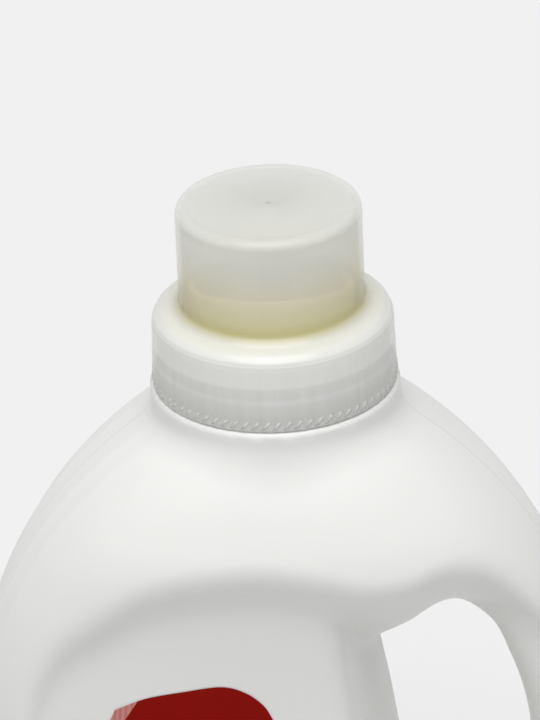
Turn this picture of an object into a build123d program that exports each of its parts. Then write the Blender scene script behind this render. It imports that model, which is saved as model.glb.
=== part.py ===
"""A two-litre laundry detergent bottle with a side handle, a pour spout and a dosing cap.

Millimetres, +Z up, front towards -Y, origin at the centre of the base.
Pieces: the blow-moulded bottle, the pour spout pressed into its neck, the dosing cap that
covers the spout, and the red flash stuck on the front panel.
"""
import os
from math import cos, pi, sin, sqrt

from build123d import *

# ---- Bottle: overall sizes ----
bottle_width = 172.0
bottle_depth = 98.0
rim_height = 232.0            # top of the pedestal that the cap stands on
wall = 1.2
widest_drop = 111.0           # the body is widest this far below the pedestal's top
deepest_drop = 45.0           # and deepest from this far down
side_shoulder_radius = 125.0  # shoulder arc seen from the front
front_shoulder_radius = 60.0  # shoulder arc seen from the side
base_taper_x = 6.0            # how much narrower each side is at the base
base_taper_y = 3.0
base_round = 12.0
section_power = 2.4           # 2 is an ellipse, higher is boxier
section_points = 32
punt_depth = 3.0              # the hollow under the base
punt_margin = 22.0            # from the side of the base to that hollow

# ---- Label recess and handle ----
recess_depth = 6.5            # at the front and back
recess_side_step = 6.5        # towards the sides
recess_drop = 14.0            # the recessed form starts this far below the pedestal's top
recess_bottom = 36.0          # lower edge of the recess above the base
recess_corner = 18.0
handle_half_depth = 17.0
handle_mouth_margin = 2.0     # the handle's cuts start this far outside the body
hole_roll = 12.0              # roll of the handle's inner edges

# ---- Neck ----
neck_bore = 25.9
neck_wall = 2.5
neck_height = 16.5
bead_size = 1.3               # how far the bead stands out of the neck
bead_height = 8.6
bead_half_width = 1.0
neck_root = 20.0              # the neck's moulding reaches this far down into the shoulder
pedestal_margin = 0.7         # the pedestal's radius, over the collar's
pedestal_roof = 3.0           # from the pedestal's top down to its hollow, at the side
flare_drop = 5.5              # the pedestal flares out from here down to the shoulder
flare_radius = 4.0
shoulder_overlap = 2.0        # the body's form ends this far below the pedestal's top

# ---- Dosing cap, heights above the collar's rim ----
cap_seat_gap = 0.3            # running gap between the collar's rim and the pedestal
thread_gap = 0.5              # between the neck's bead and the collar's teeth
tooth_count = 72
tooth_share = 0.7             # how much of the pitch a tooth takes
tooth_depth = 0.8
tooth_bottom = 1.0
tooth_height = 1.8
collar_wall = 1.5
collar_draft = 0.5            # the collar is this much smaller at its top
collar_round = 4.3
ledge_rise = 2.2              # the ledge slopes up by this much to the cup
cap_height = 51.0
cup_wall = 1.2
cup_round = 2.6
plug_length = 7.0             # the cup's wall goes on down as a plug into the spout's well
plug_wall = 0.8
plug_gap = 0.45               # round the plug, inside the spout's skirt

# ---- Pour spout ----
spout_fit = 0.05              # the skirt is this much smaller than the bore
spout_wall = 1.3
spout_flange_margin = 0.2     # the flange is this much smaller than the neck
spout_flange_thickness = 1.5
spout_flange_gap = 2.2        # between the flange and the cap's ledge
spout_well_depth = 14.0       # the drain well's floor below the neck's rim
spout_well_width = 2.95       # between the skirt and the spout
spout_front_height = 32.4     # the slanting rim at the front and back, above the collar's rim
spout_back_height = 21.3
spout_slot_width = 8.0

# ---- Red flash on the front panel ----
flash_thickness = 0.25

half_width = bottle_width / 2
half_depth = bottle_depth / 2
collar_rim = rim_height + cap_seat_gap
neck_rim = rim_height + neck_height
neck_radius = neck_bore + neck_wall
bead_radius = neck_radius + bead_size
collar_radius = bead_radius + thread_gap + tooth_depth + collar_wall
pedestal_radius = collar_radius + pedestal_margin
outside = bottle_width        # well clear of the body, for the cutters
body_top = rim_height - shoulder_overlap
panel_top = rim_height - recess_drop

# The recess's upper edge from the left leg over the panel to the handle's cut, as (x, drop).
recess_edge = [(-71, 110), (-69, 84), (-62, 71), (-49, 58), (-36, 48), (-20, 43), (-3, 41.5),
               (12, 43.5), (24, 46.5), (34, 47), (46, 46.5)]

# The finger hole's outline, as (x, drop).
hole_edge = [(26, 79), (35, 71), (46, 65), (55, 72), (62, 87), (66, 104), (66, 124), (61, 144),
             (50, 155), (40, 149), (34, 130), (29, 105)]

# The red flash's upper and lower edges, as (x, drop).
flash_top = [(-45, 80), (-37, 75.5), (-27.5, 73), (-17, 71), (-10.5, 72.8), (-5.8, 76.8), (-3.3, 81.5)]
flash_bottom = [(-3.3, 81.5), (-6, 90), (-16, 96), (-30, 98), (-42, 95), (-47.5, 88), (-45, 80)]

# The corners of the deep cut on each side of the handle, at the handle's face and outside.
handle_face = [(26, 62), (44, 57), (60, 66), (98, 108), (98, 146), (64, 164), (42, 160), (31, 112)]
handle_mouth = [(14, 46), (44, 40), (62, 52), (98, 92), (98, 164), (62, 180), (32, 174), (20, 112)]


def form_half_width(height):
    """Half the body's width at a height: the shoulder arc above, a slight taper below."""
    rise = height - (rim_height - widest_drop)
    if rise > 0:
        return half_width - side_shoulder_radius + sqrt(side_shoulder_radius**2 - rise**2)
    return half_width - base_taper_x * (rise / (rim_height - widest_drop)) ** 2


def form_half_depth(height):
    """Half the body's depth at a height."""
    rise = height - (rim_height - deepest_drop)
    if rise > 0:
        return half_depth - front_shoulder_radius + sqrt(front_shoulder_radius**2 - rise**2)
    return half_depth - base_taper_y * (rise / (rim_height - deepest_drop)) ** 2


def section_at(height, inset_x, inset_y):
    """The body's horizontal outline at a height, pulled in by the insets, as a face."""
    across = form_half_width(height) - inset_x
    along = form_half_depth(height) - inset_y
    points = []
    for step in range(section_points):
        turn = 2 * pi * step / section_points
        size = abs(cos(turn)) ** section_power + abs(sin(turn)) ** section_power
        reach = size ** (-1 / section_power)
        points.append((across * reach * cos(turn), along * reach * sin(turn)))
    with BuildSketch(Plane.XY.offset(height)) as outline:
        with BuildLine():
            Spline(*points, periodic=True)
        make_face()
    return outline.sketch


def grown(points, amount):
    """Points as (x, drop), moved away from their middle and turned into x and height."""
    middle_x = sum(x for x, drop in points) / len(points)
    middle_drop = sum(drop for x, drop in points) / len(points)
    moved = []
    for x, drop in points:
        away = sqrt((x - middle_x) ** 2 + (drop - middle_drop) ** 2)
        share = 1 + amount / away
        new_drop = middle_drop + (drop - middle_drop) * share
        moved.append((middle_x + (x - middle_x) * share, rim_height - new_drop))
    return moved


def body_form(inset_x, inset_y, bottom, top):
    """The body's form between two heights, lofted through its sections."""
    shares = [0, 0.15, 0.32, 0.48, 0.6, 0.7, 0.8, 0.88, 0.95, 1]
    with BuildPart() as form:
        for share in shares:
            add(section_at(bottom + share * (top - bottom), inset_x, inset_y))
        loft()
        fillet(form.edges().group_by(Axis.Z)[0], base_round - inset_x)
    return form.part


def recess_cutter(growth):
    """A prism through the whole depth, over the label recess."""
    low = recess_bottom - growth
    stretch = 1 + growth / recess_edge[-1][0]
    with BuildPart() as cutter:
        with BuildSketch(Plane.XZ):
            with BuildLine():
                upper = Spline(*[(x * stretch, rim_height - drop + growth) for x, drop in recess_edge])
                left = upper @ 0
                right = upper @ 1
                Polyline(right, (right.X, low), (left.X, low), left)
            make_face()
        extrude(amount=outside, both=True)
        lower_corners = cutter.edges().filter_by(Axis.Y).group_by(Axis.Z)[0]
        fillet(lower_corners, recess_corner)
    return cutter.part


def handle_cutter(growth, side):
    """The deep cut on the front (side -1) or back (side 1) that leaves the handle between."""
    face = Plane.XZ.offset(-side * (handle_half_depth - growth))
    mouth = Plane.XZ.offset(-side * (half_depth + handle_mouth_margin))
    with BuildPart() as cutter:
        with BuildSketch(face):
            Polygon(*grown(handle_face, growth), align=None)
        with BuildSketch(mouth):
            Polygon(*grown(handle_mouth, growth), align=None)
        loft(ruled=True)
    return cutter.part


def hole_cutter(growth):
    """The finger hole right through, with rolled edges, lofted along Y."""
    land = handle_half_depth - hole_roll
    stations = [(0, 0)]
    for share in (0, 0.4, 0.7, 0.9):
        reach = share * hole_roll
        stations.append((land + reach, hole_roll - sqrt(hole_roll**2 - reach**2)))
    stations.append((handle_half_depth + hole_roll, stations[-1][1] + hole_roll))
    mirrored = [(-depth, roll) for depth, roll in stations[:0:-1]]
    with BuildPart() as cutter:
        for depth, roll in mirrored + stations:
            with BuildSketch(Plane.XZ.offset(depth)):
                with BuildLine():
                    Spline(*grown(hole_edge, growth + roll), periodic=True)
                make_face()
        loft()
    return cutter.part


def bottle_form(inset):
    """The bottle's body without its neck, pulled in by the inset."""
    with BuildPart() as form:
        add(body_form(inset, inset, inset, body_top - inset))
        add(recess_cutter(inset), mode=Mode.SUBTRACT)
        add(body_form(recess_side_step + inset, recess_depth + inset, inset, panel_top - inset))
        for side in (-1, 1):
            add(handle_cutter(inset, side), mode=Mode.SUBTRACT)
        add(hole_cutter(inset), mode=Mode.SUBTRACT)
        punt_outline = section_at(0, punt_margin - inset, punt_margin - inset)
        extrude(punt_outline, amount=punt_depth + inset, mode=Mode.SUBTRACT)
    return form.part


# ---- Bottle: one hollow blow moulding with its handle and neck ----
pedestal_inside = pedestal_radius - wall
flare_top = rim_height - flare_drop
flare_foot = flare_top - flare_radius
neck_foot = rim_height - neck_root
bead_middle = rim_height + bead_height
with BuildPart() as bottle:
    add(bottle_form(0))
    with BuildSketch(Plane.XZ):
        with BuildLine():
            flare = TangentArc((pedestal_radius, flare_top), (pedestal_radius + flare_radius, flare_foot),
                               tangent=(0, -1))
            Polyline(flare @ 1, (pedestal_inside, neck_foot), (0, neck_foot), (0, neck_rim),
                     (neck_radius, neck_rim), (neck_radius, rim_height), (pedestal_radius, rim_height),
                     flare @ 0)
        make_face()
        Polygon((neck_bore, bead_middle - bead_half_width), (neck_radius, bead_middle - bead_half_width),
                (bead_radius, bead_middle), (neck_radius, bead_middle + bead_half_width),
                (neck_bore, bead_middle + bead_half_width), align=None)
    revolve(axis=Axis.Z)
    add(bottle_form(wall), mode=Mode.SUBTRACT)
    with BuildSketch(Plane.XZ):
        Polygon((0, neck_foot), (neck_bore, neck_foot), (pedestal_inside, flare_foot),
                (pedestal_inside, rim_height - pedestal_roof), (neck_bore, rim_height - wall),
                (neck_bore, neck_rim), (0, neck_rim), align=None)
    revolve(axis=Axis.Z, mode=Mode.SUBTRACT)

# ---- Pour spout: a skirt in the neck, a drain well and a slanting spout ----
spout_skirt = neck_bore - spout_fit
skirt_inside = spout_skirt - spout_wall
spout_radius = skirt_inside - spout_well_width
spout_flange_radius = neck_radius - spout_flange_margin
spout_middle = spout_radius - spout_wall / 2
flange_top = neck_rim + spout_flange_thickness
well_floor = neck_rim - spout_well_depth
rim_middle = collar_rim + (spout_front_height + spout_back_height) / 2
rim_slope = (spout_front_height - spout_back_height) / (2 * spout_radius)
with BuildPart() as pour_spout:
    with BuildSketch(Plane.XY.offset(well_floor)):
        Circle(spout_radius)
        Circle(spout_radius - spout_wall, mode=Mode.SUBTRACT)
    extrude(amount=cap_height)
    split(bisect_by=Plane(origin=(0, 0, rim_middle), z_dir=(0, rim_slope, 1)), keep=Keep.BOTTOM)
    with BuildSketch(Plane.XY.offset(well_floor + spout_wall)):
        with Locations((0, spout_radius)):
            Rectangle(spout_slot_width, 4 * spout_wall)
    extrude(amount=cap_height, mode=Mode.SUBTRACT)
    with BuildSketch(Plane.XZ):
        Polygon((spout_middle, well_floor), (spout_skirt, well_floor), (spout_skirt, neck_rim),
                (spout_flange_radius, neck_rim), (spout_flange_radius, flange_top),
                (skirt_inside, flange_top), (skirt_inside, well_floor + spout_wall),
                (spout_middle, well_floor + spout_wall), align=None)
    revolve(axis=Axis.Z)

# ---- Dosing cap: measuring cup, sloping ledge, collar, plug and ratchet teeth in one moulding ----
plug_radius = skirt_inside - plug_gap
plug_inside = plug_radius - plug_wall
cup_inside = plug_inside
cup_radius = cup_inside + cup_wall
cup_top_inside = cap_height - cup_wall
ledge_height = flange_top + spout_flange_gap + collar_wall - collar_rim
cup_base_height = ledge_height + ledge_rise
ledge_under = cup_base_height - collar_wall
plug_end = ledge_under - plug_length
collar_height = ledge_height - collar_round
collar_top_radius = collar_radius - collar_draft
collar_inside = collar_radius - collar_wall
collar_top_inside = collar_top_radius - collar_wall
ledge_radius = collar_top_radius - collar_round
with BuildPart() as dosing_cap:
    with BuildSketch(Plane.XZ):
        with BuildLine():
            side_wall = Line((collar_radius, 0), (collar_top_radius, collar_height))
            shoulder = TangentArc(side_wall @ 1, (ledge_radius, ledge_height), tangent=side_wall % 1)
            ledge = Line(shoulder @ 1, (cup_radius, cup_base_height))
            cup_side = Line(ledge @ 1, (cup_radius, cap_height - cup_round))
            edge = TangentArc(cup_side @ 1, (cup_radius - cup_round, cap_height), tangent=(0, 1))
            crown = Polyline(edge @ 1, (0, cap_height), (0, cup_top_inside),
                             (cup_inside - cup_wall, cup_top_inside))
            inner_edge = TangentArc(crown @ 1, (cup_inside, cup_top_inside - cup_wall), tangent=(1, 0))
            plug = Polyline(inner_edge @ 1, (cup_inside, cup_base_height), (plug_inside, ledge_under),
                            (plug_inside, plug_end), (plug_radius, plug_end), (plug_radius, ledge_under),
                            (ledge_radius - collar_wall / 2, ledge_height - collar_wall))
            inner_shoulder = TangentArc(plug @ 1, (collar_top_inside, collar_height - collar_wall / 2),
                                        tangent=(1, 0))
            Polyline(inner_shoulder @ 1, (collar_inside, 0), side_wall @ 0)
        make_face()
    revolve(axis=Axis.Z)
    tooth_outside = collar_radius - collar_wall / 2
    tooth_inside = collar_inside - tooth_depth
    tooth_width = tooth_share * 2 * pi * tooth_inside / tooth_count
    with BuildSketch(Plane.XY.offset(tooth_bottom)):
        with PolarLocations(0, tooth_count):
            Polygon((tooth_inside, 0), (tooth_outside, 0), (tooth_outside, tooth_width), align=None)
    extrude(amount=tooth_height)
dosing_cap.part = dosing_cap.part.moved(Location((0, 0, collar_rim)))

# ---- Red flash: a thin label on the curved panel ----
with BuildPart() as label_flash:
    add(body_form(recess_side_step, recess_depth - flash_thickness, 0, panel_top))
    with BuildSketch(Plane.XZ):
        with BuildLine():
            upper = Spline(*[(x, rim_height - drop) for x, drop in flash_top])
            lower = Spline(*[(x, rim_height - drop) for x, drop in flash_bottom])
        make_face()
    extrude(amount=outside, mode=Mode.INTERSECT)
    add(body_form(recess_side_step, recess_depth, 0, panel_top), mode=Mode.SUBTRACT)

os.makedirs("parts", exist_ok=True)
for name, piece in (("bottle", bottle), ("pour_spout", pour_spout), ("dosing_cap", dosing_cap),
                    ("label_flash", label_flash)):
    piece.part.label = name
    export_step(piece.part, f"parts/{name}.step")
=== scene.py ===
"""Looks of the laundry detergent bottle: fine meshes, materials, studio and camera, in metres."""
from math import cos, pi, radians, sin, sqrt

import bpy
import numpy as np
from mathutils import Matrix, Vector


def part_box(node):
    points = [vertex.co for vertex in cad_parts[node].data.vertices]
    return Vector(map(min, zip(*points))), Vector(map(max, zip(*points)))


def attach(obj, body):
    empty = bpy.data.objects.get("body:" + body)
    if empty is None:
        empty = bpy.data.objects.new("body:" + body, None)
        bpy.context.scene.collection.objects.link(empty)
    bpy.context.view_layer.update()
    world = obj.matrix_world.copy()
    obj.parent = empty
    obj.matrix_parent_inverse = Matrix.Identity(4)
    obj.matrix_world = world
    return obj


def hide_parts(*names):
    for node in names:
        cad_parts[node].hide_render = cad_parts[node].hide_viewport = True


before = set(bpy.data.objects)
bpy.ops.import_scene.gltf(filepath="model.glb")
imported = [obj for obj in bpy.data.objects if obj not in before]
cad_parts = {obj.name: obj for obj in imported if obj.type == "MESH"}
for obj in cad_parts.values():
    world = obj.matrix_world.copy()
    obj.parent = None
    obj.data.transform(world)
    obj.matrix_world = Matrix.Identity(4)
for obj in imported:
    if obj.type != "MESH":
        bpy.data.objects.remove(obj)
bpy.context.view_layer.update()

mm = 0.001

# ---- Places and sizes taken from the frame, in millimetres ----
bottle_low, bottle_high = (np.array(corner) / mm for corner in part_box("bottle"))
cap_low, cap_high = (np.array(corner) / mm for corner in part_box("dosing_cap"))
collar_gap = 0.3
rim = cap_low[2] - collar_gap               # top of the pedestal under the cap's collar
half_width = min(-bottle_low[0], bottle_high[0])
half_depth = bottle_high[1]
neck_top = bottle_high[2]

# ---- The bottle's form, as in the CAD ----
widest_drop = 111.0
widest = rim - widest_drop
side_shoulder = 125.0
front_shoulder = 110.0
front_shoulder_drop = 75.0                  # the centre of the front shoulder's arc, below the rim
crest_drop = 35.6                           # where the shoulder meets the step on the front
crest_depth = half_depth - 0.9
side_taper = 6.0
front_taper = 3.0
section_power = 2.4
base_round = 12.0
punt_depth = 3.0
recess_depth = 8.2
handle_half_depth = 17.0
hole_middle = (46.0, 111.0)
pedestal_radius = 33.2
visual_wall = 1.4
voxel = 1.4
cavity_voxel = 2.6
neck_out, neck_in = 28.4, 25.9
neck_middle = (neck_out + neck_in) / 2

# The red flash turns into dots left of a slanting line through this point, as (x, drop).
tint_edge = (-38.6, 77.5)
tint_lean = radians(-31)
dots_per_metre = 3000.0

# Edge curves on the front, as (x, drop below the pedestal's top).
step_top = [(-90, 97), (-62, 66), (-49, 54), (-37, 44), (-20, 37.3), (-3, 35.6), (11, 38.2), (25, 42),
            (34, 42), (44, 40), (52, 42), (60, 48), (68, 58), (80, 78), (95, 104)]
step_bottom = [(-95, 197), (15, 197), (45, 190), (64, 176), (80, 156), (95, 134)]
hole_edge = [(25, 77.5), (35, 71.5), (46, 65), (55, 71), (61, 84), (65.5, 101), (66.5, 122), (63.5, 140),
             (57, 151.5), (49, 154.5), (42, 150), (36.8, 139), (33, 125), (30.4, 112), (28.3, 98), (26.3, 87)]
panel_side = [(40, 22), (78, 25.3), (105, 29), (130, 34), (150, 41), (175, 52), (200, 70)]   # (drop, x)


def smooth_curve(points, where):
    """A smooth curve through points (in order of their first value), read at each place."""
    xs, ys = (np.array(values, float) for values in zip(*points))
    slopes = np.gradient(ys, xs)
    span = np.clip(np.searchsorted(xs, where) - 1, 0, len(xs) - 2)
    width = xs[span + 1] - xs[span]
    t = (where - xs[span]) / width
    t = np.clip(t, 0, 1)
    return ((2 * t**3 - 3 * t**2 + 1) * ys[span] + (t**3 - 2 * t**2 + t) * width * slopes[span]
            + (3 * t**2 - 2 * t**3) * ys[span + 1] + (t**3 - t**2) * width * slopes[span + 1])


def blend_max(a, b, round_off):
    """The larger of two fields, rounded where they meet: an intersection of two solids."""
    overlap = np.maximum(round_off - np.abs(a - b), 0) / round_off
    return np.maximum(a, b) + overlap**2 * round_off / 4


def blend_min(a, b, round_off):
    """The smaller of two fields, rounded where they meet: a union of two solids."""
    return -blend_max(-a, -b, round_off)


def form_half_width(z):
    rise = z - widest
    above = half_width - side_shoulder + np.sqrt(np.maximum(side_shoulder**2 - rise**2, 1))
    below = half_width - side_taper * (rise / widest) ** 2
    return np.where(rise > 0, above, below)


def form_half_depth(z):
    """Half the depth: a long shoulder arc that turns softly into the nearly upright front."""
    reach = np.clip(z - (rim - front_shoulder_drop), -20, front_shoulder - 1)
    crest = sqrt(front_shoulder**2 - (front_shoulder_drop - crest_drop)**2)
    shoulder = crest_depth + np.sqrt(front_shoulder**2 - reach**2) - crest
    front = half_depth - front_taper * (np.maximum(rim - crest_drop - z, 0) / (rim - crest_drop)) ** 2
    return blend_min(shoulder, front, 3)


def oval(x, y, across, along):
    """About how far a point lies outside a boxy oval."""
    out = np.hypot(x, y) + 1e-6
    across, along = np.maximum(across, 1), np.maximum(along, 1)
    powers = (np.abs(x) / across) ** section_power + (np.abs(y) / along) ** section_power
    share = powers ** (1 / section_power)
    return out * (1 - 1 / np.maximum(share, 1e-6))


def hole_ring():
    """The finger hole's outline as closely spaced angles and distances about its middle."""
    ring = np.array(hole_edge[-3:] + hole_edge + hole_edge[:4], float)
    run = np.concatenate(([0], np.cumsum(np.hypot(*np.diff(ring, axis=0).T))))
    where = np.linspace(run[3], run[-4], 721)[:-1]
    x, drop = (smooth_curve(list(zip(run, ring[:, k])), where) for k in (0, 1))
    x, drop = x - hole_middle[0], drop - hole_middle[1]
    order = np.argsort(np.arctan2(drop, x))
    return np.arctan2(drop, x)[order], np.hypot(x, drop)[order]


hole_angles, hole_distances = hole_ring()


def hole_field(x, drop):
    """Negative inside the finger hole's outline."""
    across, down = x - hole_middle[0], drop - hole_middle[1]
    reach = np.interp(np.arctan2(down, across), hole_angles, hole_distances, period=2 * pi)
    return np.hypot(across, down) - reach


def bottle_field(x, y, z, inset=0.0):
    """Negative inside the bottle's form, pulled in by the inset. Millimetres."""
    drop = rim - z
    deep = np.abs(y)
    across = form_half_width(z)
    along = form_half_depth(z)
    dome = oval(x, y, across, along)
    # Soft ridges beside the parting line on the plain side.
    for place, height, spread in ((9.0, 0.55, 1.8), (17.5, 0.45, 2.4)):
        dome = dome - height * np.exp(-((deep - place) / spread) ** 2) * np.clip((-x - 20) / 25, 0, 1)
    # The shoulder's soft step over the label panel and the handle, and the band above the base.
    surface = along * np.maximum(1 - (np.abs(x) / across) ** section_power, 0.0) ** (1 / section_power)
    lean = np.interp(x, (10, 38), (1.25, 0.9))
    into = np.maximum(surface - deep, -4)
    below_step = smooth_curve(step_top, x) + lean * into - drop
    slope = np.hypot(1, np.gradient(smooth_curve(step_top, np.arange(-95, 96.0))))
    below_step = below_step / (np.interp(x, np.arange(-95, 96.0), slope) * np.sqrt(1 + lean**2) * 0.8)
    above_band = (drop + 0.9 * into - smooth_curve(step_bottom, x)) / 1.35
    recess = blend_max(below_step, above_band, 5)
    recess = blend_max(recess, (-70.5 - x + 0.4 * into), 16)
    # What stays inside the recess: the label's panel and the handle's slab.
    panel = oval(x, y, across, along - recess_depth)
    facet = (x - (smooth_curve(panel_side, drop) - 0.2 * deep)) * 0.97
    panel = blend_max(panel, facet, 7)
    slab = deep - handle_half_depth
    kept = blend_min(panel, slab, 6)
    form = blend_max(dome, blend_min(-recess, kept, 3.5), 4)
    form = blend_max(form, -hole_field(x, drop), 15)
    # Base, hollow under it, and the neck's pedestal.
    form = blend_max(form, -z, base_round)
    punt = oval(x, y, across - 24, along - 24)
    form = blend_max(form, -blend_max(punt, z - punt_depth, 5), 3)
    form = blend_max(form, z - (rim - 2), 2) + inset
    around = np.hypot(x, y)
    pedestal = np.maximum(around - pedestal_radius + inset, np.maximum(z - rim, rim - 20 - z) + inset)
    return blend_min(form, pedestal, 5)


def cavity_field(x, y, z):
    """Negative in the bottle's cavity and in the bore of its neck."""
    cavity = bottle_field(x, y, z, visual_wall)
    bore = np.maximum(np.hypot(x, y) - neck_in, rim - 25 - z)
    return np.maximum(np.minimum(cavity, bore), z - rim)


def surface_net(field, low, high, step):
    """Vertices and quads of the field's zero surface, moved onto it exactly."""
    axes = [np.arange(low[k], high[k] + step, step) for k in range(3)]
    grid = np.meshgrid(*axes, indexing="ij")
    values = field(*grid)
    inside = values < 0
    cells = tuple(n - 1 for n in values.shape)
    total = np.zeros(cells + (3,))
    count = np.zeros(cells)
    corners = [(i, j, k) for i in (0, 1) for j in (0, 1) for k in (0, 1)]

    def corner(array, c):
        return array[c[0]:c[0] + cells[0], c[1]:c[1] + cells[1], c[2]:c[2] + cells[2]]

    for a in corners:
        for axis in range(3):
            if a[axis]:
                continue
            b = tuple(1 if k == axis else a[k] for k in range(3))
            va, vb = corner(values, a), corner(values, b)
            crossed = corner(inside, a) != corner(inside, b)
            share = np.where(crossed, va / np.where(crossed, va - vb, 1), 0)
            for k in range(3):
                total[..., k] += crossed * (a[k] + (share if k == axis else 0))
            count += crossed
    active = count > 0
    number = -np.ones(cells, int)
    number[active] = np.arange(active.sum())
    start = np.stack(np.nonzero(active), axis=1)
    points = (start + total[active] / count[active][:, None]) * step + np.array(low)
    faces = []
    for axis in range(3):
        b, c = (axis + 1) % 3, (axis + 2) % 3
        take = [slice(1, -1)] * 3
        take[axis] = slice(0, -1)
        after = list(take)
        after[axis] = slice(1, None)
        here, there = inside[tuple(take)], inside[tuple(after)]
        for turn, flip in ((here & ~there, False), (~here & there, True)):
            at = np.stack(np.nonzero(turn), axis=1)
            at[:, b] += 1
            at[:, c] += 1
            quad = []
            for db, dc in ((0, 0), (-1, 0), (-1, -1), (0, -1)):
                cell = at.copy()
                cell[:, b] += db
                cell[:, c] += dc
                quad.append(number[cell[:, 0], cell[:, 1], cell[:, 2]])
            quad = np.stack(quad, axis=1)
            faces.append(quad[:, ::-1] if flip else quad)
    faces = np.concatenate(faces)
    return project(field, points, step), faces


def project(field, points, step):
    """Moves points onto the field's zero along its gradient."""
    for _ in range(3):
        value = field(*points.T)
        nudge = 0.05
        slope = np.stack([field(*(points + nudge * axis).T) - field(*(points - nudge * axis).T)
                          for axis in np.eye(3)], axis=1) / (2 * nudge)
        steepness = np.maximum((slope**2).sum(axis=1), 0.05)
        move = slope * (value / steepness)[:, None]
        length = np.linalg.norm(move, axis=1, keepdims=True)
        points = points - move * np.minimum(1, 0.6 * step / np.maximum(length, 1e-9))
    return points


def add_mesh(name, points, faces, material, body, slot):
    """A smooth-shaded object from points in millimetres, riding on a body."""
    mesh = bpy.data.meshes.new(name)
    mesh.from_pydata((np.asarray(points) * mm).tolist(), [], [tuple(map(int, face)) for face in faces])
    mesh.validate()
    mesh.update()
    mesh.polygons.foreach_set("use_smooth", [True] * len(mesh.polygons))
    piece = bpy.data.objects.new(name, mesh)
    bpy.context.collection.objects.link(piece)
    mesh.materials.append(material)
    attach(piece, body)
    return piece


def lathe(profile, around):
    """Points and quads of a closed profile of (radius, z), turned about Z."""
    profile = np.array(profile)
    angles = np.arange(around) * 2 * pi / around
    points = np.stack([np.outer(np.cos(angles), profile[:, 0]), np.outer(np.sin(angles), profile[:, 0]),
                       np.tile(profile[:, 1], (around, 1))], axis=2).reshape(-1, 3)
    n = len(profile)
    faces = []
    for i in range(around):
        for j in range(n):
            a, b = i * n + j, i * n + (j + 1) % n
            c, d = ((i + 1) % around) * n + (j + 1) % n, ((i + 1) % around) * n + j
            faces.append((a, d, c, b))
    return points, faces


def arc(middle, radius, start, end, steps):
    """Points on an arc, angles in degrees."""
    return [(middle[0] + radius * cos(radians(start + (end - start) * i / steps)),
             middle[1] + radius * sin(radians(start + (end - start) * i / steps))) for i in range(steps + 1)]


# ---- Materials ----
def new_material(name, color, roughness, **sockets):
    """A principled material, its node tree and its shader node."""
    material = bpy.data.materials.new(name)
    material.use_nodes = True
    shader = material.node_tree.nodes["Principled BSDF"]
    shader.inputs["Base Color"].default_value = (*color, 1)
    shader.inputs["Roughness"].default_value = roughness
    for socket, value in sockets.items():
        shader.inputs[socket.replace("_", " ")].default_value = value
    return material, material.node_tree, shader


def add_node(tree, kind, **values):
    """A node with some of its inputs set by name."""
    node = tree.nodes.new(kind)
    for socket, value in values.items():
        node.inputs[socket.replace("_", " ")].default_value = value
    return node


def mottle(tree, shader, scale, low, high, color_low, color_high):
    """Slight cloudy changes of colour and roughness, in object space."""
    place = tree.nodes.new("ShaderNodeTexCoord")
    noise = add_node(tree, "ShaderNodeTexNoise", Scale=scale, Detail=4.0, Roughness=0.6)
    tree.links.new(place.outputs["Object"], noise.inputs["Vector"])
    tint = tree.nodes.new("ShaderNodeMix")
    tint.data_type = "RGBA"
    tint.inputs[6].default_value = (*color_low, 1)
    tint.inputs[7].default_value = (*color_high, 1)
    tree.links.new(noise.outputs["Fac"], tint.inputs[0])
    tree.links.new(tint.outputs[2], shader.inputs["Base Color"])
    rough = add_node(tree, "ShaderNodeMapRange")
    rough.inputs["To Min"].default_value = low
    rough.inputs["To Max"].default_value = high
    tree.links.new(noise.outputs["Fac"], rough.inputs["Value"])
    tree.links.new(rough.outputs["Result"], shader.inputs["Roughness"])
    return place


def grain(tree, shader, place, scale, depth, extra=None):
    """Fine moulded grain as bump, with an optional extra height added."""
    noise = add_node(tree, "ShaderNodeTexNoise", Scale=scale, Detail=3.0)
    tree.links.new(place.outputs["Object"], noise.inputs["Vector"])
    height = noise.outputs["Fac"]
    if extra is not None:
        total = tree.nodes.new("ShaderNodeMath")
        total.operation = "ADD"
        tree.links.new(height, total.inputs[0])
        tree.links.new(extra, total.inputs[1])
        height = total.outputs[0]
    bump = add_node(tree, "ShaderNodeBump", Strength=1.0, Distance=depth)
    tree.links.new(height, bump.inputs["Height"])
    tree.links.new(bump.outputs["Normal"], shader.inputs["Normal"])


def parting_line(tree, place):
    """A fine raised line round the bottle where the mould's halves met."""
    split = tree.nodes.new("ShaderNodeSeparateXYZ")
    tree.links.new(place.outputs["Object"], split.inputs[0])
    away = tree.nodes.new("ShaderNodeMath")
    away.operation = "ABSOLUTE"
    tree.links.new(split.outputs["Y"], away.inputs[0])
    line = add_node(tree, "ShaderNodeMapRange")
    line.interpolation_type = "SMOOTHSTEP"
    for socket, value in (("From Min", 0.0), ("From Max", 0.45 * mm), ("To Min", 6.0), ("To Max", 0.0)):
        line.inputs[socket].default_value = value
    tree.links.new(away.outputs[0], line.inputs["Value"])
    return line.outputs["Result"]


def white_plastic():
    material, tree, shader = new_material("white_hdpe", (0.86, 0.86, 0.85), 0.38, Specular_IOR_Level=0.4)
    place = mottle(tree, shader, 45.0, 0.34, 0.44, (0.85, 0.852, 0.83), (0.875, 0.877, 0.855))
    grain(tree, shader, place, 900.0, 0.025 * mm, parting_line(tree, place))
    return material


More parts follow.
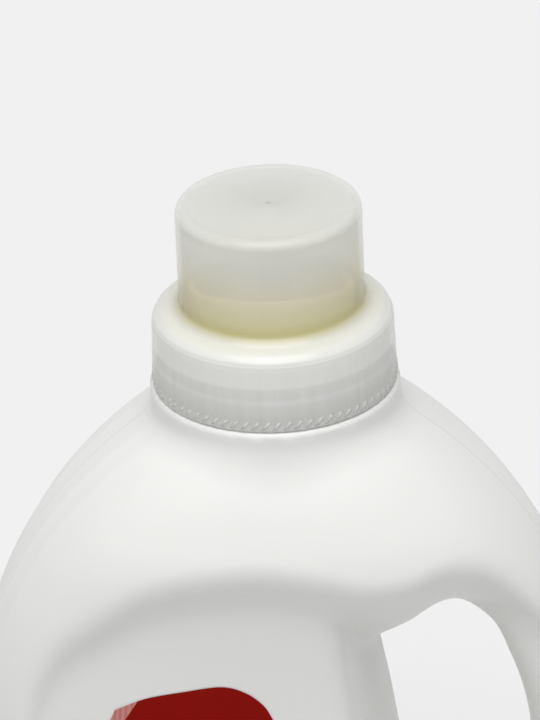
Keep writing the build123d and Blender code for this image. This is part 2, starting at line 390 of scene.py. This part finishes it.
def height_ramp(tree, place, stops):
    """Colours that change with the height above the collar's rim, given as (millimetres, colour)."""
    split = tree.nodes.new("ShaderNodeSeparateXYZ")
    tree.links.new(place.outputs["Object"], split.inputs[0])
    share = add_node(tree, "ShaderNodeMapRange")
    lowest, highest = stops[0][0], stops[-1][0]
    share.inputs["From Min"].default_value = (cap_low[2] + lowest) * mm
    share.inputs["From Max"].default_value = (cap_low[2] + highest) * mm
    tree.links.new(split.outputs["Z"], share.inputs["Value"])
    ramp = tree.nodes.new("ShaderNodeValToRGB")
    tree.links.new(share.outputs["Result"], ramp.inputs["Fac"])
    elements = ramp.color_ramp.elements
    elements[0].color = (*stops[0][1], 1)
    elements[1].color = (*stops[-1][1], 1)
    for height, color in stops[1:-1]:
        elements.new((height - lowest) / (highest - lowest)).color = (*color, 1)
    return ramp.outputs["Color"]


def streaks(tree, place, color):
    """The colour with faint upright streaks on the collar, darker in places."""
    stretch = add_node(tree, "ShaderNodeMapping", Scale=(1.0, 1.0, 0.03))
    tree.links.new(place.outputs["Object"], stretch.inputs["Vector"])
    lines = add_node(tree, "ShaderNodeTexNoise", Scale=420.0, Detail=2.0)
    tree.links.new(stretch.outputs["Vector"], lines.inputs["Vector"])
    level = add_node(tree, "ShaderNodeMapRange")
    for socket, value in (("From Min", 0.3), ("From Max", 0.7), ("To Min", 0.94), ("To Max", 1.0)):
        level.inputs[socket].default_value = value
    tree.links.new(lines.outputs["Fac"], level.inputs["Value"])
    where = height_ramp(tree, place, [(height, (share, share, share)) for height, share in (
        (0, 1.0), (12.0, 1.0), (13.0, 0.5), (17.0, 0.3), (19.0, 0.0), (51.0, 0.0))])
    shaded = tree.nodes.new("ShaderNodeMix")
    shaded.data_type = "RGBA"
    shaded.blend_type = "MULTIPLY"
    tree.links.new(where, shaded.inputs[0])
    tree.links.new(color, shaded.inputs[6])
    tree.links.new(level.outputs["Result"], shaded.inputs[7])
    return shaded.outputs[2]


def translucent_plastic():
    """Translucent moulding, whiter where it is thick, with painted light on it: painted highlight and shade
    bands up the collar, the spout's yellow painted low on the cup where it would show through, and a painted
    shade on the top.
    """
    material, tree, shader = new_material("translucent_pp", (0.86, 0.87, 0.86), 0.22, Alpha=0.7, IOR=1.5)
    place = mottle(tree, shader, 60.0, 0.16, 0.26, (0.97, 0.975, 0.97), (1.0, 1.0, 1.0))
    # Painted light by height: a painted highlight on the collar's rim, painted bands of shade and highlight
    # up its side and over the ledge, the spout's yellow painted low on the cup as if seen through the wall,
    # and a painted shade on the top.
    tint = height_ramp(tree, place, [
        (0, (1.0, 1.0, 0.98)), (0.9, (0.98, 0.98, 0.96)), (2.9, (0.87, 0.88, 0.84)),
        (7.4, (0.91, 0.92, 0.88)), (8.3, (0.98, 0.98, 0.96)), (9.0, (0.98, 0.98, 0.96)),
        (9.6, (0.93, 0.94, 0.9)), (11.6, (0.96, 0.97, 0.93)), (12.6, (1.0, 1.0, 0.97)),
        (17.6, (1.0, 1.0, 0.97)), (18.3, (0.88, 0.885, 0.85)), (18.8, (1.0, 1.0, 0.98)),
        (19.2, (0.88, 0.885, 0.85)), (19.7, (1.0, 1.0, 0.98)), (20.4, (0.95, 0.955, 0.92)),
        (22.0, (0.93, 0.925, 0.84)), (23.8, (0.82, 0.76, 0.37)), (27.0, (0.92, 0.87, 0.57)),
        (33.0, (1.0, 0.96, 0.77)), (40.0, (1.0, 0.99, 0.9)), (49.5, (1.0, 1.0, 0.97)),
        (51.0, (0.9, 0.905, 0.875))])
    cloud = shader.inputs["Base Color"].links[0].from_socket
    both = tree.nodes.new("ShaderNodeMix")
    both.data_type = "RGBA"
    both.blend_type = "MULTIPLY"
    both.inputs[0].default_value = 1.0
    tree.links.new(cloud, both.inputs[6])
    tree.links.new(tint, both.inputs[7])
    tree.links.new(streaks(tree, place, both.outputs[2]), shader.inputs["Base Color"])
    haze = height_ramp(tree, place, [(height, (share, share, share)) for height, share in (
        (0, 0.6), (3.2, 0.62), (7.4, 0.7), (12.0, 0.72), (13.0, 0.8), (17.0, 0.8), (21.4, 0.75), (23.8, 0.55),
        (30.0, 0.5), (46.0, 0.52), (51.0, 0.42))])
    tree.links.new(haze, shader.inputs["Alpha"])
    grain(tree, shader, place, 700.0, 0.02 * mm)
    return material


def natural_plastic():
    material, tree, shader = new_material("natural_pe", (0.85, 0.77, 0.45), 0.45)
    place = mottle(tree, shader, 70.0, 0.4, 0.5, (0.83, 0.76, 0.43), (0.87, 0.8, 0.5))
    grain(tree, shader, place, 800.0, 0.02 * mm)
    return material


def red_film():
    """Deep red print that breaks into a lighter tint of fine dots beyond a slanting line at its left."""
    material, tree, shader = new_material("red_film", (0.27, 0.004, 0.002), 0.45, Specular_IOR_Level=0.05)
    place = mottle(tree, shader, 90.0, 0.4, 0.5, (0.255, 0.0035, 0.0015), (0.285, 0.005, 0.0025))
    solid = shader.inputs["Base Color"].links[0].from_socket
    turned = add_node(tree, "ShaderNodeMapping", Rotation=(0, tint_lean, 0))
    tree.links.new(place.outputs["Object"], turned.inputs["Vector"])
    cells = add_node(tree, "ShaderNodeTexVoronoi", Scale=dots_per_metre, Randomness=0.0)
    tree.links.new(turned.outputs["Vector"], cells.inputs["Vector"])
    dots = add_node(tree, "ShaderNodeMapRange")
    for socket, value in (("From Min", 0.3), ("From Max", 0.6), ("To Min", 0.0), ("To Max", 1.0)):
        dots.inputs[socket].default_value = value
    tree.links.new(cells.outputs["Distance"], dots.inputs["Value"])
    tint = tree.nodes.new("ShaderNodeMix")
    tint.data_type = "RGBA"
    tint.inputs[6].default_value = (0.48, 0.12, 0.1, 1)
    tint.inputs[7].default_value = (0.66, 0.3, 0.27, 1)
    tree.links.new(dots.outputs["Result"], tint.inputs[0])
    split = tree.nodes.new("ShaderNodeSeparateXYZ")
    tree.links.new(turned.outputs["Vector"], split.inputs[0])
    side = add_node(tree, "ShaderNodeMapRange")
    edge = tint_edge[0] * cos(tint_lean) + (rim - tint_edge[1]) * sin(tint_lean)
    for socket, value in (("From Min", (edge - 0.1) * mm), ("From Max", (edge + 0.1) * mm)):
        side.inputs[socket].default_value = value
    tree.links.new(split.outputs["X"], side.inputs["Value"])
    film = tree.nodes.new("ShaderNodeMix")
    film.data_type = "RGBA"
    tree.links.new(side.outputs["Result"], film.inputs[0])
    tree.links.new(tint.outputs[2], film.inputs[6])
    tree.links.new(solid, film.inputs[7])
    tree.links.new(film.outputs[2], shader.inputs["Base Color"])
    grain(tree, shader, place, 600.0, 0.01 * mm)
    return material


# ---- Pieces ----
white = white_plastic()
clear = translucent_plastic()
natural = natural_plastic()
red = red_film()

margin = 4.0
lowest = (-half_width - margin, -half_depth - margin, -margin)
highest = (half_width + margin, half_depth + margin, rim + margin)


def without_lid(points, faces):
    """Leaves out the faces that close a form across the neck, inside the neck's wall."""
    middles = points[faces].mean(axis=1)
    lid = (np.hypot(middles[:, 0], middles[:, 1]) < neck_middle) & (middles[:, 2] > rim - 0.2)
    return faces[~lid]


outside_points, outside_faces = surface_net(bottle_field, lowest, highest, voxel)
inside_points, inside_faces = surface_net(cavity_field, lowest, highest, cavity_voxel)
outside_faces = without_lid(outside_points, outside_faces)
inside_faces = without_lid(inside_points, inside_faces)[:, ::-1] + len(outside_points)
shell = add_mesh("bottle_shell", np.vstack([outside_points, inside_points]),
                 np.vstack([outside_faces, inside_faces]), white, "bottle", "white_plastic")

# The neck's finish stands on the pedestal: wall, thread-like beads and rounded mouth.
neck_root, lip = 6, 0.5
neck_profile = [(neck_in, rim - neck_root), (neck_out, rim - neck_root), (neck_out, rim + 1.0)]
for bead_rise, bead_radius in ((8.6, 1.25), (13.2, 1.1)):
    neck_profile += [(neck_out, rim + bead_rise - 1.2)]
    neck_profile += arc((neck_out, rim + bead_rise), bead_radius, -75, 75, 8)
    neck_profile += [(neck_out, rim + bead_rise + 1.2)]
neck_profile += [(neck_out, neck_top - lip), (neck_out - lip, neck_top), (neck_in + lip, neck_top),
                 (neck_in, neck_top - lip)]
add_mesh("neck_finish", *lathe(neck_profile, 192), white, "bottle", "white_plastic")
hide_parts("bottle")

# The dosing cap.
base = cap_low[2]
top = cap_high[2]
cup_wall = 1.2
cap_sides = 288
tooth_count = 72
tooth_inside, tooth_outside = 30.25, 32.6
tooth_foot, tooth_head, tooth_slant = 0.9, 2.9, 0.55
cap_profile = (
    [(32.5, base + 0.4), (32.46, base + 1.2), (32.0, base + 17.1)]
    + arc((27.7, base + 17.1), 4.3, 8, 82, 10) + [(27.7, base + 21.4), (27.0, base + 21.55)]
    + [(26.2, base + 22.0), (25.4, base + 22.7), (24.9, base + 23.25), (24.6, base + 23.7)]
    + [(24.55, base + 24.6), (24.5, top - 2.7)] + arc((21.9, top - 2.6), 2.6, 5, 85, 10)
    + [(21.6, top), (20.6, top - 0.12), (19.8, top), (3.0, top), (1.2, top - 0.1), (0.001, top - 0.25)]
    + [(0.001, top - cup_wall), (21.0, top - cup_wall)] + arc((21.7, top - cup_wall - 1.6), 1.6, 85, 5, 6)
    + [(23.3, base + 30), (23.3, base + 15.2), (23.5, base + 15.0), (23.9, base + 15.0), (24.1, base + 15.2)]
    + [(24.1, base + 21.9), (26.8, base + 20.2)] + arc((27.4, base + 17.0), 3.15, 82, 8, 8)
    + [(30.55, base + 16.5), (30.75, base + 9.6), (30.35, base + 9.0), (30.35, base + 8.4)]
    + [(30.78, base + 7.8), (30.95, base + 3.0), (31.0, base + 0.4), (31.3, base), (32.2, base)])
cap_points, cap_faces = lathe(cap_profile, cap_sides)


def ratchet_teeth(first, count):
    """Slanting teeth in the collar's rim, which just stand out of it."""
    tooth_points, tooth_faces = [], []
    for i in range(count):
        turn = 2 * pi * i / count
        pitch = 2 * pi / count
        start = first + 8 * i
        for z, shift in ((base + tooth_foot, 0.0), (base + tooth_head, tooth_slant)):
            for radius, along in ((tooth_outside, 0.4), (tooth_inside, 0.4), (tooth_inside, 0.05),
                                  (tooth_outside, 0.05)):
                angle = turn + (along + shift) * pitch
                tooth_points.append((radius * cos(angle), radius * sin(angle), z))
        tooth_faces.append((start + 3, start + 2, start + 1, start))
        tooth_faces.append((start + 4, start + 5, start + 6, start + 7))
        for j in range(4):
            k = (j + 1) % 4
            tooth_faces.append((start + j, start + k, start + 4 + k, start + 4 + j))
    return tooth_points, tooth_faces


tooth_points, tooth_faces = ratchet_teeth(len(cap_points), tooth_count)
cap = add_mesh("cap_moulding", np.vstack([cap_points, tooth_points]), cap_faces + tooth_faces, clear,
               "cap", "translucent_plastic")
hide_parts("dosing_cap")

# The pour spout keeps its CAD form.
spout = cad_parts["pour_spout"]
spout.data.materials.clear()
spout.data.materials.append(natural)


def flash_patch():
    """The red flash: a thin patch that lies on the front panel."""
    upper = [(-45, 81), (-36.5, 76.6), (-27, 74), (-16.2, 72), (-9.7, 73.8), (-5, 77.8), (-2.5, 82.5)]
    lower = [(-45, 81), (-47.2, 88.5), (-41.5, 95.5), (-29.5, 98.8), (-15.5, 97), (-5.2, 91), (-2.5, 82.5)]
    steps_along, steps_across = 60, 24
    along = np.linspace(0, 1, steps_along)
    spaced = np.linspace(0, 1, 7)
    edges = []
    for edge in (upper, lower):
        curves = [smooth_curve(list(zip(spaced, values)), along) for values in zip(*edge)]
        edges.append(np.stack(curves, axis=1))
    share = np.linspace(0, 1, steps_across)[:, None, None]
    flat = edges[0][None] * (1 - share) + edges[1][None] * share
    flat = np.vstack([flat[:, 1:-1].reshape(-1, 2), flat[0, [0, -1]]])
    points = np.stack([flat[:, 0], np.full(len(flat), -half_depth + recess_depth), rim - flat[:, 1]], axis=1)
    for _ in range(12):
        value = bottle_field(*points.T)
        points[:, 1] += value
    points[:, 1] -= 0.2

    def number(row, column):
        """A point's number: the rows' inner points come first, and the two tips last."""
        if column in (0, steps_along - 1):
            return len(flat) - (2 if column == 0 else 1)
        return row * (steps_along - 2) + column - 1

    faces = [tuple(dict.fromkeys((number(r, c), number(r + 1, c), number(r + 1, c + 1), number(r, c + 1))))
             for r in range(steps_across - 1) for c in range(steps_along - 1)]
    return points, faces


flash = add_mesh("flash_label", *flash_patch(), red, "bottle", "red_film")
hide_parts("label_flash")


# ---- Studio ----
floor_seen, floor_lit = 0.835, 0.64         # the floor's grey to the camera, and to light that falls on it
fill_level, backdrop_level = 0.32, 0.86


def studio_floor():
    """A pale floor that keeps the bottle's shadow."""
    mesh = bpy.data.meshes.new("studio_floor")
    reach = 6.0
    corners = [(-reach, -reach, 0), (reach, -reach, 0), (reach, reach, 0), (-reach, reach, 0)]
    mesh.from_pydata(corners, [], [(0, 1, 2, 3)])
    floor = bpy.data.objects.new("studio_floor", mesh)
    bpy.context.collection.objects.link(floor)
    material, tree, shader = new_material("studio_floor", (floor_seen,) * 3, 0.9, Specular_IOR_Level=0.0)
    seen = tree.nodes.new("ShaderNodeLightPath")
    direct = tree.nodes.new("ShaderNodeMath")
    direct.operation = "MAXIMUM"
    tree.links.new(seen.outputs["Is Camera Ray"], direct.inputs[0])
    tree.links.new(seen.outputs["Is Glossy Ray"], direct.inputs[1])
    paper = tree.nodes.new("ShaderNodeMix")
    paper.data_type = "RGBA"
    paper.inputs[6].default_value = (floor_lit, floor_lit, floor_lit, 1)
    paper.inputs[7].default_value = (floor_seen, floor_seen, floor_seen, 1)
    tree.links.new(direct.outputs[0], paper.inputs[0])
    tree.links.new(paper.outputs[2], shader.inputs["Base Color"])
    mesh.materials.append(material)


def soft_light(name, place, spread, strength):
    """A wide soft light from a direction, even over the whole floor."""
    data = bpy.data.lights.new(name, "SUN")
    data.angle = radians(spread)
    data.energy = strength
    lamp = bpy.data.objects.new(name, data)
    lamp.rotation_euler = Vector(place).to_track_quat("Z", "Y").to_euler()
    bpy.context.collection.objects.link(lamp)


def studio_world():
    """A dim even fill that the camera and glossy surfaces see as the pale backdrop."""
    world = bpy.data.worlds.new("studio")
    world.use_nodes = True
    tree = world.node_tree
    sky = tree.nodes["Background"]
    sky.inputs["Color"].default_value = (1, 1, 1, 1)
    seen = tree.nodes.new("ShaderNodeLightPath")
    direct = tree.nodes.new("ShaderNodeMath")
    direct.operation = "MAXIMUM"
    tree.links.new(seen.outputs["Is Camera Ray"], direct.inputs[0])
    tree.links.new(seen.outputs["Is Glossy Ray"], direct.inputs[1])
    level = add_node(tree, "ShaderNodeMapRange")
    level.inputs["To Min"].default_value = fill_level
    level.inputs["To Max"].default_value = backdrop_level
    tree.links.new(direct.outputs[0], level.inputs["Value"])
    tree.links.new(level.outputs["Result"], sky.inputs["Strength"])
    bpy.context.scene.world = world


studio_floor()
soft_light("softbox_above", (-0.05, -0.65, 1.88), 55, 2.43)
studio_world()


# ---- Camera: above the front, a long way off, rolled a little ----
def place_camera():
    azimuth, elevation, roll = radians(2.5), radians(28), radians(-2.4)
    distance = 1.3
    away = Vector((sin(azimuth) * cos(elevation), -cos(azimuth) * cos(elevation), sin(elevation)))
    turn = away.to_track_quat("Z", "Y").to_matrix() @ Matrix.Rotation(roll, 3, "Z")
    right, up = turn.col[0], turn.col[1]
    aim = Vector((0, 0, rim * mm)) - 1.35 * mm * right + 3.98 * mm * up
    data = bpy.data.cameras.new("camera")
    data.sensor_width = 36
    data.lens = 245
    camera = bpy.data.objects.new("camera", data)
    camera.matrix_world = Matrix.Translation(aim + away * distance) @ turn.to_4x4()
    bpy.context.collection.objects.link(camera)
    bpy.context.scene.camera = camera


place_camera()
bpy.context.scene.view_settings.view_transform = "Standard"
